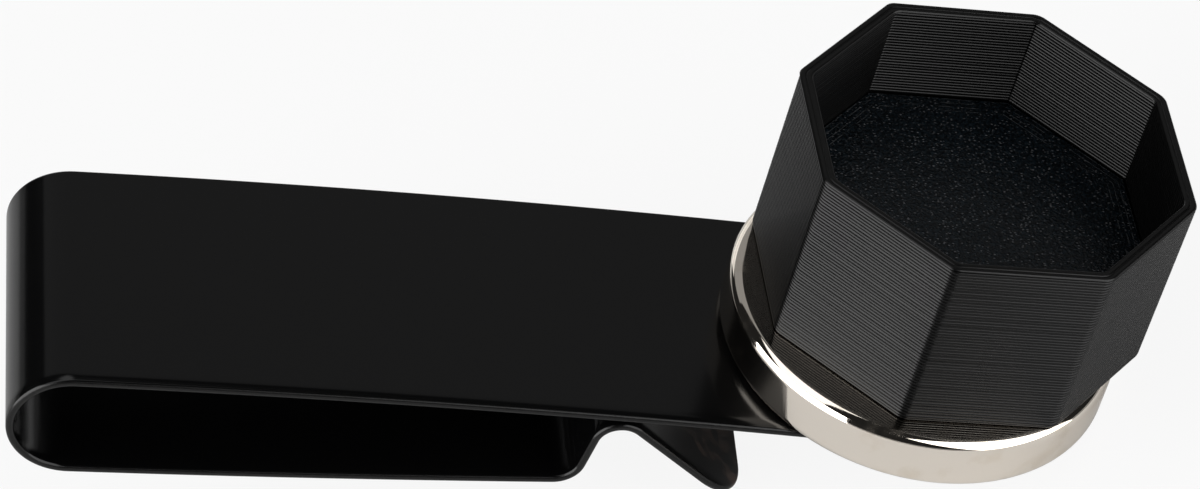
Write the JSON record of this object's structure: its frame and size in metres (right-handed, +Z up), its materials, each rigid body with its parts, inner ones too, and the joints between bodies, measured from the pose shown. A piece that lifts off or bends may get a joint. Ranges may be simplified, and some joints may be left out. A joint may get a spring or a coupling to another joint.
{
  "type": "magnetic chalk holder",
  "caption": "Belt clip bent from black spring steel, with a plated magnet disc that carries a lift-off octagonal printed cup for a block of billiard-cue chalk.",
  "frame": {"origin": "bottom centre of the box around the holder as it lies on a table, on the tip of the clip's lip and the edge of the magnet disc", "axes": "+X along the clip from its bend towards the cup, +Y across the strip, +Z up from the table; the cup's axis leans from +Z towards +X"},
  "size_m": [0.0796, 0.0282, 0.025],
  "materials": {
    "clip_coating": "satin-gloss black coating on spring steel",
    "bond_film": "translucent adhesive film",
    "disc_nickel": "bright nickel plating, lightly stained",
    "cup_print": "satin black printed plastic with layer ridges",
    "magnet_nickel": "nickel plating",
    "floor_print": "pebbled blue-black printed plastic"
  },
  "bodies": {
    "arm": {"clip_back_arm": "clip_coating"},
    "leaf": {"clip_front_leaf": "clip_coating", "disc_bond_film": "bond_film", "disc_magnet": "disc_nickel"},
    "cup": {"chalk_cup": "cup_print", "cup_magnet": "magnet_nickel", "cup_floor_plate": "floor_print"}
  },
  "joints": [
    {"name": "clip_flex", "type": "hinge", "parent": "arm", "child": "leaf", "pos_m": [-0.03651, -0.00007, 0.01266], "axis": [0, -1, 0], "range_deg": [0, 6.5], "stiffness_Nm_per_rad": 1.1},
    {"name": "cup_lift", "type": "slide", "parent": "leaf", "child": "cup", "axis": [0.3265, 0, 0.9452], "range_m": [0, 0.025]}
  ]
}
